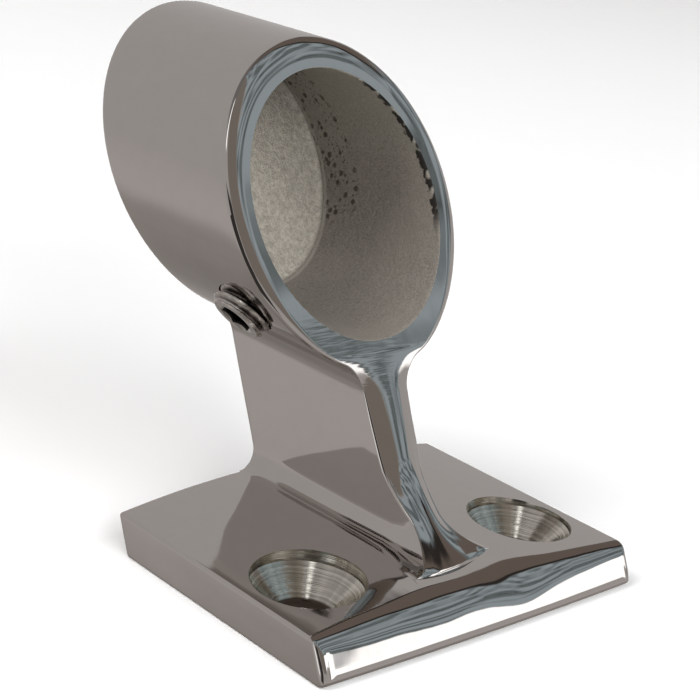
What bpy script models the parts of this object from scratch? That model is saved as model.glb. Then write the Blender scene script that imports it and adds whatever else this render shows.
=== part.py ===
"""Raked end stanchion for a 22 mm boat handrail, with its socket set screw.

A cast, polished stainless steel fitting in one piece: a low crowned base plate with
two countersunk holes, a thin web that leans back from it, and a tube socket on top
that is blind at the back and open at its slanted mouth.  A headless screw with a
hexagon socket goes through the socket's wall and clamps the rail.

Frame: metres, +Z up, origin at the centre of the base's underside, +X along the
socket's axis towards its mouth, -Y the side that the set screw is on.
"""

import math

import bmesh
import bpy
from mathutils import Vector

MM = 0.001

# Base plate
BASE_LENGTH = 28.2 * MM             # along the underside, fore and aft
BASE_WIDTH = 40.2 * MM
BASE_EDGE = 3.8 * MM                # thickness at its two side edges
BASE_CROWN = 1.0 * MM               # how much thicker it is along its middle
BASE_RAKE = math.radians(27.0)      # lean of its front and back ends from upright
FRONT_ROLL = 2.2 * MM               # radius of the front end's top edge

# Countersunk holes for 5 mm screws
HOLE_SPACING = 27.4 * MM
HOLE_FORWARD = 3.6 * MM             # holes' line, ahead of the underside's centre
HOLE_R = 2.65 * MM
SINK_R = 5.1 * MM                   # rim of the countersink
SINK_LAND = 0.5 * MM                # straight step between the rim and the cone

# Tube socket
TUBE_R = 13.9 * MM                  # outside
BORE_R = 11.3 * MM                  # takes a 22 mm rail with 0.3 mm all round
AXIS_HEIGHT = 32.8 * MM
MOUTH_X = -11.7 * MM                # where the mouth's plane meets the axis
MOUTH_RAKE = math.radians(29.0)
BACK_X = -31.2 * MM                 # where the back end's plane meets the axis
BACK_RAKE = math.radians(31.5)
END_WALL = 1.4 * MM                 # thickness of the blind end, along the axis

# Web between the base and the socket
WEB_HALF = 2.5 * MM                 # half thickness above the underside's centre
WEB_TAPER = math.radians(4.0)       # each side, thicker towards the back
FOOT_FILLET = 2.0 * MM              # between web and base
HEAD_FILLET = 3.0 * MM              # between web and socket
TOE_REACH = 4.8 * MM                # how far the front edge sweeps out at its foot
TOE_HEIGHT = 6.2 * MM               # height over which it does so
TOE_CURVE = 1.6                     # exponent of that sweep
PLATEAU_DROP = 0.02 * MM            # flat ahead of the toe, below the crown there

# Set screw, M6, cup point, 3 mm hexagon socket
SCREW_R = 3.0 * MM
SCREW_LENGTH = 5.0 * MM
SCREW_STANDS_OUT = 1.25 * MM        # of the socket's outside, at rest
SCREW_BEHIND_MOUTH = 7.15 * MM      # from the mouth's plane, level with the hole
SCREW_ANGLE = math.radians(45.0)    # from straight down, towards -Y
SCREW_CHAMFER = 0.5 * MM
CUP_DEPTH = 0.6 * MM
CUP_R = 1.5 * MM
HEX_KEY = 3.0 * MM                  # across flats
HEX_DEPTH = 2.2 * MM
SCREW_GAP = 0.3 * MM                # between the screw and its hole, all round

# Facets
ROUND = 72
SMALL_ROUND = 32
CROWN_STEPS = 6                     # flats in each half of the crown
FILLET_STEPS = 6
TUBE_STEPS = 32                     # flats from the web up to the socket's top
TOE_STEPS = 8
ARC_STEPS = 5                       # flats in the front end's rolled edge

STAINLESS = ((0.60, 0.57, 0.55, 1.0), 0.08, 1.0)
SCREW_STEEL = ((0.42, 0.39, 0.36, 1.0), 0.28, 1.0)

WELD = 1e-6                         # points of one mesh closer than this are one
SMOOTH_ANGLE = math.radians(35.0)


def clear_scene():
    """Remove every object that the file opened with."""
    for obj in list(bpy.data.objects):
        bpy.data.objects.remove(obj, do_unlink=True)


def make_collection(name):
    """Return a new collection linked to the scene."""
    collection = bpy.data.collections.new(name)
    bpy.context.scene.collection.children.link(collection)
    return collection


def move_to(obj, collection):
    """Link an object to one collection only."""
    for old in list(obj.users_collection):
        old.objects.unlink(obj)
    collection.objects.link(obj)


def make_material(name, finish):
    """Return a Principled material from (colour, roughness, metallic)."""
    colour, roughness, metallic = finish
    material = bpy.data.materials.new(name)
    material.use_nodes = True
    shader = material.node_tree.nodes["Principled BSDF"]
    shader.inputs["Base Color"].default_value = colour
    shader.inputs["Roughness"].default_value = roughness
    shader.inputs["Metallic"].default_value = metallic
    return material


def mesh_object(name, bm, collection):
    """Turn a bmesh into a linked object, with its faces pointing out."""
    bmesh.ops.recalc_face_normals(bm, faces=bm.faces)
    mesh = bpy.data.meshes.new(name)
    bm.to_mesh(mesh)
    bm.free()
    obj = bpy.data.objects.new(name, mesh)
    collection.objects.link(obj)
    return obj


def evaluated_mesh(obj):
    """Return a new mesh of the object as its modifiers leave it."""
    bpy.context.view_layer.update()
    depsgraph = bpy.context.evaluated_depsgraph_get()
    return bpy.data.meshes.new_from_object(obj.evaluated_get(depsgraph))


def as_cutter(obj):
    """Show a helper as a wire that is never rendered."""
    obj.hide_render = True
    obj.display_type = "WIRE"
    return obj


def combine(target, tool, operation):
    """Join, cut or intersect target with tool, exactly."""
    modifier = target.modifiers.new(tool.name, "BOOLEAN")
    modifier.operation = operation
    modifier.solver = "EXACT"
    modifier.object = tool
    target.data = evaluated_mesh(target)
    target.modifiers.remove(modifier)


def rounded_corner(corner, before, after, radius):
    """Points of the arc that rounds a corner between its two neighbours."""
    to_before = (before - corner).normalized()
    to_after = (after - corner).normalized()
    half_angle = to_before.angle(to_after) / 2
    reach = radius / math.tan(half_angle)
    centre = corner + (to_before + to_after).normalized() * (radius / math.sin(half_angle))
    start = (corner + to_before * reach - centre).normalized()
    end = (corner + to_after * reach - centre).normalized()
    return [centre + start.slerp(end, step / ARC_STEPS) * radius for step in range(ARC_STEPS + 1)]


def turned(name, profile, steps, collection):
    """A solid turned about z from (radius, height) points, running top to bottom."""
    mesh = bpy.data.meshes.new(name)
    edges = [(index, index + 1) for index in range(len(profile) - 1)]
    mesh.from_pydata([(radius, 0.0, height) for radius, height in profile], edges, [])
    obj = bpy.data.objects.new(name, mesh)
    collection.objects.link(obj)
    screw = obj.modifiers.new("turn", "SCREW")
    screw.axis = "Z"
    screw.angle = 2 * math.pi
    screw.steps = steps
    screw.render_steps = steps
    screw.use_merge_vertices = True
    screw.merge_threshold = WELD
    obj.data = evaluated_mesh(obj)
    obj.modifiers.remove(screw)
    return obj


def crown_drum_radius():
    """Radius of the drum that the base's crowned top is a strip of."""
    half = BASE_WIDTH / 2
    return (half ** 2 + BASE_CROWN ** 2) / (2 * BASE_CROWN)


def base_top(y):
    """Height of the base's top at a distance y from its middle line."""
    radius = crown_drum_radius()
    return BASE_EDGE + BASE_CROWN - radius + math.sqrt(radius ** 2 - y ** 2)


def base_end_x(end_x, height):
    """Where a raked end of the base is at a height, from where it is underneath."""
    return end_x - height * math.tan(BASE_RAKE)


def mouth_x(height):
    """Where the mouth's plane is at a height."""
    return MOUTH_X - (height - AXIS_HEIGHT) * math.tan(MOUTH_RAKE)


def back_x(height):
    """Where the socket's back end is at a height."""
    return BACK_X - (height - AXIS_HEIGHT) * math.tan(BACK_RAKE)


def web_half(x):
    """Half thickness of the web's plain part, which thickens towards the back."""
    return WEB_HALF - x * math.tan(WEB_TAPER)


def arc(centre, radius, start, end, steps):
    """Points (across, up) along an arc, from one angle to another."""
    points = []
    for step in range(steps + 1):
        angle = start + (end - start) * step / steps
        points.append((centre[0] + radius * math.cos(angle), centre[1] + radius * math.sin(angle)))
    return points


def front_outline(x):
    """The fitting seen from its mouth: crowned base, web and round socket, as (y, z) points.

    The web's half thickness is that of the section at x.  Every section has as many points.
    """
    half = web_half(x)
    drum_r = crown_drum_radius()
    drum_height = BASE_EDGE + BASE_CROWN - drum_r
    foot_y = half + FOOT_FILLET
    foot_angle = math.acos(foot_y / (drum_r + FOOT_FILLET))
    foot_centre = (foot_y, drum_height + (drum_r + FOOT_FILLET) * math.sin(foot_angle))
    head_y = half + HEAD_FILLET
    head_angle = math.acos(head_y / (TUBE_R + HEAD_FILLET))
    head_centre = (head_y, AXIS_HEIGHT - (TUBE_R + HEAD_FILLET) * math.sin(head_angle))
    edge_angle = math.acos(BASE_WIDTH / 2 / drum_r)
    side = [(BASE_WIDTH / 2, -BASE_EDGE)]
    side += arc((0.0, drum_height), drum_r, edge_angle, foot_angle, CROWN_STEPS)
    side += arc(foot_centre, FOOT_FILLET, foot_angle - math.pi, -math.pi, FILLET_STEPS)[1:]
    side += arc(head_centre, HEAD_FILLET, math.pi, math.pi - head_angle, FILLET_STEPS)
    side += arc((0.0, AXIS_HEIGHT), TUBE_R, -head_angle, math.pi / 2, TUBE_STEPS)[1:]
    return side + [(-y, z) for y, z in reversed(side[:-1])]


def plateau():
    """Height of the base's top beside the web's foot, where the web's toe ends."""
    y = web_half(0.0) + FOOT_FILLET
    return base_top(y) - PLATEAU_DROP


def side_outline():
    """The fitting seen from its side, open above the socket, as (x, z) points."""
    level = plateau()
    bottom_front = Vector((BASE_LENGTH / 2, 0.0, 0.0))
    bottom_back = Vector((-BASE_LENGTH / 2, 0.0, 0.0))
    top_front = Vector((base_end_x(BASE_LENGTH / 2, level), 0.0, level))
    top_back = (base_end_x(-BASE_LENGTH / 2, level), level)
    toe_top = level + TOE_HEIGHT
    toe = Vector((mouth_x(level) + TOE_REACH, 0.0, level))
    points = [(bottom_back.x, bottom_back.z), (bottom_front.x, bottom_front.z)]
    points += [(point.x, point.z) for point in
               rounded_corner(top_front, bottom_front, toe, FRONT_ROLL)]
    for step in range(TOE_STEPS + 1):
        share = 1.0 - step / TOE_STEPS
        height = toe_top - TOE_HEIGHT * share
        points.append((mouth_x(height) + TOE_REACH * share ** TOE_CURVE, height))
    above = AXIS_HEIGHT + TUBE_R + HEAD_FILLET
    under = AXIS_HEIGHT - TUBE_R
    points += [(mouth_x(above), above), (back_x(above), above), (back_x(under), under), top_back]
    return points


def prism(name, near, far, collection):
    """A closed solid between two outlines of as many points, each a list of places."""
    bm = bmesh.new()
    rings = [[bm.verts.new(place) for place in outline] for outline in (near, far)]
    count = len(near)
    for index in range(count):
        following = (index + 1) % count
        bm.faces.new((rings[0][index], rings[0][following], rings[1][following], rings[1][index]))
    for ring in rings:
        bm.faces.new(ring)
    return mesh_object(name, bm, collection)


def build_body(parts, cutters):
    """Base, web and socket as one solid: its front view along x, within its side view along y."""
    ahead, behind = BASE_LENGTH, back_x(AXIS_HEIGHT + TUBE_R) - TUBE_R
    near = [(ahead, y, z) for y, z in front_outline(ahead)]
    far = [(behind, y, z) for y, z in front_outline(behind)]
    body = prism("casting", near, far, parts)
    wide = BASE_WIDTH
    side = side_outline()
    profile = prism("side_profile", [(x, -wide, z) for x, z in side],
                    [(x, wide, z) for x, z in side], cutters)
    combine(body, as_cutter(profile), "INTERSECT")
    return body


def build_bore_cutter(cutters):
    """The socket's bore: open at the mouth, and blind parallel to the back end."""
    bm = bmesh.new()
    bmesh.ops.create_cone(bm, cap_ends=True, segments=ROUND, radius1=BORE_R, radius2=BORE_R,
                          depth=10 * TUBE_R)
    turn = Vector((0.0, 0.0, 1.0)).rotation_difference(Vector((1.0, 0.0, 0.0))).to_matrix()
    bmesh.ops.rotate(bm, matrix=turn, verts=bm.verts)
    bmesh.ops.translate(bm, vec=Vector((BACK_X, 0.0, AXIS_HEIGHT)), verts=bm.verts)
    everything = bm.verts[:] + bm.edges[:] + bm.faces[:]
    cut = bmesh.ops.bisect_plane(bm, geom=everything, clear_outer=True,
                                 plane_co=Vector((BACK_X + END_WALL, 0.0, AXIS_HEIGHT)),
                                 plane_no=Vector((-math.cos(BACK_RAKE), 0.0, -math.sin(BACK_RAKE))))
    rim = [item for item in cut["geom_cut"] if isinstance(item, bmesh.types.BMEdge)]
    bmesh.ops.contextual_create(bm, geom=rim)
    return as_cutter(mesh_object("bore", bm, cutters))


def build_hole_cutter(side, cutters):
    """One countersunk hole: through hole, cone, and the straight step under its rim."""
    y = side * HOLE_SPACING / 2
    rim = base_top(y)
    cone_top = rim - SINK_LAND
    cone_bottom = cone_top - (SINK_R - HOLE_R)
    above = rim + BASE_CROWN + BASE_EDGE
    profile = [(0.0, above), (SINK_R, above), (SINK_R, cone_top), (HOLE_R, cone_bottom),
               (HOLE_R, -BASE_EDGE), (0.0, -BASE_EDGE)]
    cutter = turned("screw_hole", profile, SMALL_ROUND, cutters)
    cutter.location = (HOLE_FORWARD, y, 0.0)
    return as_cutter(cutter)


def screw_outward():
    """The direction in which the set screw leaves the socket."""
    return Vector((0.0, -math.sin(SCREW_ANGLE), -math.cos(SCREW_ANGLE)))


def screw_seat():
    """Where the set screw's axis crosses the socket's outside."""
    seat_height = AXIS_HEIGHT - TUBE_R * math.cos(SCREW_ANGLE)
    x = mouth_x(seat_height) - SCREW_BEHIND_MOUTH
    return Vector((x, 0.0, AXIS_HEIGHT)) + screw_outward() * TUBE_R


def build_screw_hole_cutter(cutters):
    """The plain hole that stands for the tapped one, through one wall of the socket."""
    radius = SCREW_R + SCREW_GAP
    wall = TUBE_R - BORE_R
    bpy.ops.mesh.primitive_cylinder_add(vertices=SMALL_ROUND, radius=radius, depth=4 * wall,
                                        location=screw_seat() - screw_outward() * (wall / 2),
                                        rotation=(math.pi - SCREW_ANGLE, 0.0, 0.0))
    cutter = as_cutter(bpy.context.object)
    cutter.name = "set_screw_hole"
    move_to(cutter, cutters)
    return cutter


def build_casting(parts, cutters):
    """The casting, with its bore and its machined holes."""
    casting = build_body(parts, cutters)
    combine(casting, build_bore_cutter(cutters), "DIFFERENCE")
    combine(casting, build_screw_hole_cutter(cutters), "DIFFERENCE")
    for side in (-1, 1):
        combine(casting, build_hole_cutter(side, cutters), "DIFFERENCE")
    return casting


def build_set_screw(parts, cutters):
    """The headless screw, with its origin on its axis at the outer end."""
    chamfer_r = SCREW_R - SCREW_CHAMFER
    tip = -SCREW_LENGTH
    profile = [(0.0, 0.0), (chamfer_r, 0.0), (SCREW_R, -SCREW_CHAMFER),
               (SCREW_R, tip + SCREW_CHAMFER), (chamfer_r, tip), (CUP_R, tip),
               (0.0, tip + CUP_DEPTH)]
    screw = turned("set_screw", profile, SMALL_ROUND, parts)
    bpy.ops.mesh.primitive_cylinder_add(vertices=6, radius=HEX_KEY / math.sqrt(3),
                                        depth=2 * HEX_DEPTH)
    key = as_cutter(bpy.context.object)
    key.name = "hexagon_key"
    move_to(key, cutters)
    combine(screw, key, "DIFFERENCE")
    place = (screw_seat() + screw_outward() * SCREW_STANDS_OUT, (math.pi - SCREW_ANGLE, 0.0, 0.0))
    for obj in (screw, key):
        obj.location, obj.rotation_euler = place
    return screw


def main():
    """Build the fitting."""
    clear_scene()
    parts = make_collection("raked_end_stanchion")
    cutters = make_collection("cutters")
    pieces = ((build_casting(parts, cutters), "stainless", STAINLESS),
              (build_set_screw(parts, cutters), "screw_steel", SCREW_STEEL))
    for piece, name, finish in pieces:
        piece.data.materials.clear()
        piece.data.materials.append(make_material(name, finish))
        piece.data.shade_smooth()
        piece.data.set_sharp_from_angle(angle=SMOOTH_ANGLE)


main()
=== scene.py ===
"""Looks of a raked end stanchion: a polished cast handrail fitting and its set screw.

The casting is one piece of mirror-polished stainless steel: a crowned base with two
countersunk holes, a leaning web and a blind tube socket, rough as cast inside.  The
set screw is a headless M6 screw with a hexagon socket.  All sizes are in metres.
"""

from __future__ import annotations

import logging
import math
from contextlib import contextmanager
from dataclasses import dataclass, field
from enum import Enum
from typing import Callable, Iterator, Sequence

import bmesh
import bpy
from bpy.types import Object
from mathutils import Matrix, Vector

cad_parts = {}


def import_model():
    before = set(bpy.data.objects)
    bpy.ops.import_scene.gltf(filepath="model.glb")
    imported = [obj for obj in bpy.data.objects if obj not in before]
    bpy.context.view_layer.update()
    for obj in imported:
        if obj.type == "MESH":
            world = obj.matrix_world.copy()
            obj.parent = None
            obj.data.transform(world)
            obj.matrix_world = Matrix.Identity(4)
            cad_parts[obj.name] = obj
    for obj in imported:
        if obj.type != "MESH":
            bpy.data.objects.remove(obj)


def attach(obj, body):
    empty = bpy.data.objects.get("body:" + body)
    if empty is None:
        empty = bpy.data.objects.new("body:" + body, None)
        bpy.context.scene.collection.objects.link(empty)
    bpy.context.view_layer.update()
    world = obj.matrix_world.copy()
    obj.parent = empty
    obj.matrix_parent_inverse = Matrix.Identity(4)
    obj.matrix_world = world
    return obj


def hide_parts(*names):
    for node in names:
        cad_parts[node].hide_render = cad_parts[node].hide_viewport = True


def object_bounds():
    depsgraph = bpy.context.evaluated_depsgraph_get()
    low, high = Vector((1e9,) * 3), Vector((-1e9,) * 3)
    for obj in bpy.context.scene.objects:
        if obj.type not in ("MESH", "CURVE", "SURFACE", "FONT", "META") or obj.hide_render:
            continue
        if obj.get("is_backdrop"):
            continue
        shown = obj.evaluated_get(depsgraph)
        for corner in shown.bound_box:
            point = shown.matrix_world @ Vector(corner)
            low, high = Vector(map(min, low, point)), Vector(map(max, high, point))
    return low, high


MM = 0.001
WELD = 1e-7
DEGREES = 180 / math.pi
QUARTER_TURN = math.pi / 2
SECTIONS_PER_METRE = 20000

Point = tuple[float, float, float]
Plane = tuple[Point, Point]
Outline = list[tuple[float, float]]
Row = tuple[float, float, int]
ORIGIN: Point = (0.0, 0.0, 0.0)
LEVEL: Plane = (ORIGIN, (0.0, 0.0, 1.0))

log = logging.getLogger("stanchion")


# --------------------------------------------------------------------------- shader maths


def math_node(operation: str, swapped: bool = False) -> Callable[[Wire, Wire | float], Wire]:
    """Return a method of Wire that adds a Math node with two values.

    Args:
        operation: the node's operation, such as ADD.
        swapped: whether the other value comes first.
    Returns:
        The method.
    """
    def method(self: Wire, other: Wire | float) -> Wire:
        """Return the node's output."""
        return self.result(operation, *((other, self) if swapped else (self, other)))
    return method


class Wire:
    """A shader socket that takes part in Python expressions."""

    __add__, __radd__ = math_node("ADD"), math_node("ADD", swapped=True)
    __sub__, __rsub__ = math_node("SUBTRACT"), math_node("SUBTRACT", swapped=True)
    __mul__, __rmul__ = math_node("MULTIPLY"), math_node("MULTIPLY", swapped=True)
    __truediv__ = math_node("DIVIDE")
    at_least, at_most = math_node("MAXIMUM"), math_node("MINIMUM")

    def __init__(self, sheet: Sheet, socket: bpy.types.NodeSocket | None) -> None:
        """Keep the socket and the sheet of nodes that it is on."""
        self.sheet = sheet
        self.socket = socket

    def result(self, operation: str, *terms: Wire | float) -> Wire:
        """Return the result of a Math node for its values, in order."""
        return self.sheet.node("ShaderNodeMath", {"operation": operation}, dict(enumerate(terms)))

    def size(self) -> Wire:
        """Return the value without its sign."""
        return self.result("ABSOLUTE", self)

    def rise(self, low: float, high: float) -> Wire:
        """Return a smooth step from 0 at low to 1 at high, or the other way round."""
        settings = {"interpolation_type": "SMOOTHSTEP", "clamp": True}
        if low < high:
            return self.sheet.node("ShaderNodeMapRange", settings,
                                   {"Value": self, "From Min": low, "From Max": high})
        return 1.0 - self.rise(high, low)

    def within(self, start: float, full: float, fade: float, end: float) -> Wire:
        """Return 1 from full to fade, and less down to 0 at start and at end."""
        return self.rise(start, full) * self.rise(end, fade)


class Sheet:
    """A tree of shader nodes that is written as expressions."""

    def __init__(self, tree: bpy.types.NodeTree) -> None:
        """Start with the tree emptied."""
        self.tree = tree
        tree.nodes.clear()

    def node(self, kind: str, settings: dict | None = None, values: dict | None = None,
             output: int | str = 0) -> Wire:
        """Add a node, set it up and feed its sockets.

        Args:
            kind: the node's type name.
            settings: attributes that are set before the sockets.
            values: socket names or numbers, each with a value or a Wire.
            output: which output to return.
        Returns:
            The output asked for.
        """
        made = self.tree.nodes.new(kind)
        for name, setting in (settings or {}).items():
            setattr(made, name, setting)
        for name, value in (values or {}).items():
            if isinstance(value, Wire):
                self.tree.links.new(value.socket, made.inputs[name])
            else:
                made.inputs[name].default_value = value
        return Wire(self, made.outputs[output] if made.outputs else None)

    def vector(self, operation: str, *terms: Wire | Sequence[float]) -> Wire:
        """Return the result of a Vector Math node for its values, in order."""
        number = operation in ("DISTANCE", "DOT_PRODUCT", "LENGTH")
        return self.node("ShaderNodeVectorMath", {"operation": operation},
                         dict(enumerate(terms)), int(number))

    def place(self) -> Wire:
        """Return the Object coordinates."""
        return self.node("ShaderNodeTexCoord", output="Object")

    def axes(self, vector: Wire) -> tuple[Wire, Wire, Wire]:
        """Split a vector into its three parts."""
        split = self.node("ShaderNodeSeparateXYZ", {}, {"Vector": vector}).socket.node
        return tuple(Wire(self, socket) for socket in split.outputs)

    def joined(self, x: Wire, y: Wire | float = 0.0) -> Wire:
        """Return a vector with two parts given."""
        return self.node("ShaderNodeCombineXYZ", {}, {"X": x, "Y": y})

    def ahead(self, place: Wire, plane: Plane) -> Wire:
        """Return how far a place is in front of a plane: a point and the normal there."""
        return self.vector("DOT_PRODUCT", self.vector("SUBTRACT", place, plane[0]), plane[1])

    def stretched(self, vector: Wire, scale: Point, turn: Point = ORIGIN,
                  centre: Point = ORIGIN) -> Wire:
        """Move, turn and stretch a coordinate.

        Args:
            vector: the coordinate.
            scale: how many times longer each axis becomes.
            turn: angles about x, y and z.
            centre: the point that goes to zero.
        Returns:
            The new coordinate.
        """
        return self.node("ShaderNodeMapping", {"vector_type": "POINT"}, {
            "Vector": self.vector("SUBTRACT", vector, centre), "Rotation": turn, "Scale": scale})

    def noise(self, vector: Wire, scale: float, detail: float = 2.0, rough: float = 0.5) -> Wire:
        """Return a noise between 0 and 1."""
        return self.node("ShaderNodeTexNoise", {}, {
            "Vector": vector, "Scale": scale, "Detail": detail, "Roughness": rough})

    def cells(self, vector: Wire, scale: float) -> Wire:
        """Return the distance to the nearest of scattered points."""
        return self.node("ShaderNodeTexVoronoi", {}, {"Vector": vector, "Scale": scale})

    def blend(self, mask: Wire | float, low: Wire | Point, high: Wire | Point) -> Wire:
        """Return a colour between low, where the mask is 0, and high, where it is 1."""
        low, high = (end if isinstance(end, Wire) else (*end, 1.0) for end in (low, high))
        return self.node("ShaderNodeMix", {"data_type": "RGBA"}, {0: mask, 6: low, 7: high},
                         output=2)

    def bumps(self, height: Wire, depth: float, under: Wire | None = None) -> Wire:
        """Return a normal for a height map.

        Args:
            height: the map, from 0 to 1.
            depth: how deep that range is.
            under: a normal that this one is laid over.
        Returns:
            The bumped normal.
        """
        values: dict = {"Height": height, "Distance": depth, "Strength": 1.0}
        if under is not None:
            values["Normal"] = under
        return self.node("ShaderNodeBump", {}, values)


# --------------------------------------------------------------------------- the finishes


@dataclass(frozen=True)
class Finish:
    """A surface: its name and the steady values of its shader."""

    name: str
    colour: Point
    roughness: float
    metallic: float = 1.0

    def make(self) -> bpy.types.Material:
        """Return the material."""
        material = bpy.data.materials.new(self.name)
        material.use_nodes = True
        sheet = Sheet(material.node_tree)
        values = {"Base Color": (*self.colour, 1.0), "Roughness": self.roughness,
                  "Metallic": self.metallic}
        values.update(self.detail(sheet))
        shader = sheet.node("ShaderNodeBsdfPrincipled", {}, values)
        sheet.node("ShaderNodeOutputMaterial", {}, {"Surface": shader})
        return material

    def detail(self, sheet: Sheet) -> dict:
        """Return what varies over the surface, by socket name."""
        return {}

    def toned(self, share: float) -> Point:
        """Return the colour made darker or lighter."""
        return tuple(share * part for part in self.colour)


@dataclass(frozen=True)
class MirrorPolish(Finish):
    """Stainless steel polished by hand: a mirror that waves slightly."""

    ring_low: Point = ORIGIN
    grind_reach: float = 7.5 * MM
    wave_depth: float = 0.20 * MM
    ripple_depth: float = 0.016 * MM
    grind_depth: float = 0.012 * MM

    def detail(self, sheet: Sheet) -> dict:
        """Waves, haze, faint scratches, and grinding marks low on the mouth's rim."""
        place = sheet.place()
        waves = sheet.noise(place, 75.0, 1.0, 0.4)
        ripples = sheet.noise(sheet.stretched(place, (1.0, 1.5, 0.8)), 260.0, 1.0, 0.4)
        wave = sheet.bumps(ripples, self.ripple_depth, sheet.bumps(waves, self.wave_depth))
        haze = sheet.noise(place, 500.0, 3.0, 0.6)
        scratches = sheet.stretched(place, (260.0, 2600.0, 700.0), (0.5, 0.3, 0.2))
        fine = sheet.noise(scratches, 1.0, 2.0)
        near = sheet.vector("DISTANCE", place, self.ring_low)
        near = near.rise(self.grind_reach, self.grind_reach * 0.35)
        grinding = sheet.stretched(place, (600.0, 330.0, 3600.0), (0.45, 0.0, 0.0), self.ring_low)
        marks = sheet.noise(grinding, 1.0, 1.0)
        normal = sheet.bumps(marks * near, self.grind_depth, wave)
        tint = sheet.blend(haze, self.colour, self.toned(0.94))
        rough = self.roughness + 0.03 * haze + 0.02 * fine.rise(0.55, 0.7) + 0.08 * near * marks
        return {"Base Color": tint, "Roughness": rough, "Normal": normal}


@dataclass(frozen=True)
class CastSkin(Finish):
    """The sandy skin of an investment casting, with pits and rusty specks."""

    spot: Point = ORIGIN
    end: Plane = LEVEL
    mouth: Plane = LEVEL
    chip_spot: Point = ORIGIN
    brown: Point = (0.29, 0.265, 0.228)
    # painted light: paler colours for the end wall, where light falls on it
    pale: tuple[Point, Point] = ((0.31, 0.285, 0.245), (0.57, 0.535, 0.465))
    # painted light: lighter colours that brighten the top of the bore, above its axis
    ceiling: tuple[Point, Point] = ((0.27, 0.25, 0.215), (0.40, 0.37, 0.315))
    pit: Point = (0.05, 0.035, 0.025)
    # painted highlight: a pale line along the fillet round the end wall
    painted_fillet_glint: Point = (0.55, 0.52, 0.46)
    chip: Point = (0.02, 0.017, 0.015)
    depth: float = 0.15 * MM

    def detail(self, sheet: Sheet) -> dict:
        """Grain, pits, a darker brown wall, chips at the mouth; painted light makes the end paler
        and the top lighter, and a painted highlight lines the end's fillet.
        """
        place = sheet.place()
        grain = sheet.noise(place, 5200.0, 2.5, 0.65)
        lumps = sheet.noise(place, 1700.0, 2.0, 0.6)
        cloud = sheet.noise(place, 150.0, 2.0, 0.5)
        from_end, from_mouth = sheet.ahead(place, self.end), sheet.ahead(place, self.mouth)
        wall = sheet.blend(grain.rise(0.3, 0.7), self.toned(0.72), self.toned(1.2))
        wall = sheet.blend(cloud.rise(0.35, 0.7) * 0.35, wall, self.brown)
        middle = self.end[0][2]
        # painted light: the wall turns to the lighter ceiling colours above the axis, as if lit
        high = sheet.axes(place)[2].rise(middle - 4.0 * MM, middle + 9.0 * MM)
        wall = sheet.blend(high, wall, sheet.blend(grain.rise(0.3, 0.7), *self.ceiling))
        # painted light: the end wall is paler, as if lit; its lumps and grain are the skin's own
        pale = sheet.blend((0.5 * lumps + 0.5 * grain).rise(0.3, 0.7), *self.pale)
        end = from_end.rise(0.5 * MM, 0.1 * MM)
        skin = sheet.blend(end, wall, pale)
        pits = self.pits(sheet, place, from_end, cloud)
        skin = sheet.blend(pits * 0.85, skin, self.pit)
        # painted highlight: a pale band about 0.75 mm in front of the end wall, on its fillet
        painted_fillet_glint = (from_end - 0.75 * MM).size().rise(0.3 * MM, 0.1 * MM)
        skin = sheet.blend(painted_fillet_glint * 0.4, skin, self.painted_fillet_glint)
        ragged = (lumps - 0.5) * (1.6 * MM)
        chips = (ragged - from_mouth).rise(0.75 * MM, 0.55 * MM)
        chips = chips * sheet.vector("DISTANCE", place, self.chip_spot).rise(9.5 * MM, 7.0 * MM)
        chips = chips * sheet.noise(place, 700.0, 1.0).rise(0.42, 0.5)
        skin = sheet.blend(chips, skin, self.chip)
        height = 0.5 * grain + 0.7 * lumps - 0.8 * pits
        normal = sheet.bumps(height * (1.0 + 1.5 * end), self.depth)
        return {"Base Color": skin, "Roughness": self.roughness + 0.15 * grain, "Normal": normal}

    def pits(self, sheet: Sheet, place: Wire, from_end: Wire, cloud: Wire) -> Wire:
        """Return where the pits are: in a patch of the wall, near its end."""
        away = sheet.vector("DISTANCE", place, self.spot)
        patch = from_end.rise(9.0 * MM, 2.5 * MM) * away.rise(13.5 * MM, 9.0 * MM)
        patch = patch * from_end.rise(0.3 * MM, 0.6 * MM)
        patch = (patch * 0.75 + cloud * 0.5).rise(0.52, 0.8) * patch.rise(0.05, 0.2)
        large = sheet.cells(place, 950.0).rise(0.33, 0.20) * patch
        small = sheet.cells(place, 2200.0).rise(0.28, 0.16) * patch
        return (large + small * 0.7).at_most(1.0)


@dataclass(frozen=True)
class TurnedSink(Finish):
    """A countersink as the tool leaves it, bright with fine rings."""

    centre: tuple[float, float] = (0.0, 0.0)
    hole_top: float = 1.0 * MM
    # painted shade: a near-black colour for the through hole's wall
    painted_hole_shade: Point = (0.07, 0.055, 0.045)
    ring_depth: float = 0.05 * MM

    def detail(self, sheet: Sheet) -> dict:
        """Rings round each hole's axis, uneven round the turn, and painted shade in the hole below
        them.
        """
        place = sheet.place()
        x, y, z = sheet.axes(place)
        along, across = x - self.centre[0], y.size() - self.centre[1]
        radius = sheet.vector("LENGTH", sheet.joined(along, across))
        chatter = sheet.noise(place, 420.0, 2.0, 0.5)
        run = radius + z * 0.8 + chatter * (0.25 * MM)
        rings = sheet.noise(sheet.joined(run), 2600.0, 2.0, 0.6)
        fan = sheet.noise(sheet.joined(along / radius, across / radius), 2.6, 2.0, 0.5)
        tint = sheet.blend((0.55 * rings + 0.45 * fan).rise(0.36, 0.62), self.toned(0.5),
                           self.colour)
        # painted shade: the through hole below the cone is painted dark
        below = z.rise(self.hole_top + 0.1 * MM, self.hole_top - 0.1 * MM)
        tint = sheet.blend(below, tint, self.painted_hole_shade)
        return {"Base Color": tint, "Roughness": self.roughness + 0.10 * rings,
                "Normal": sheet.bumps(rings, self.ring_depth)}


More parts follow.
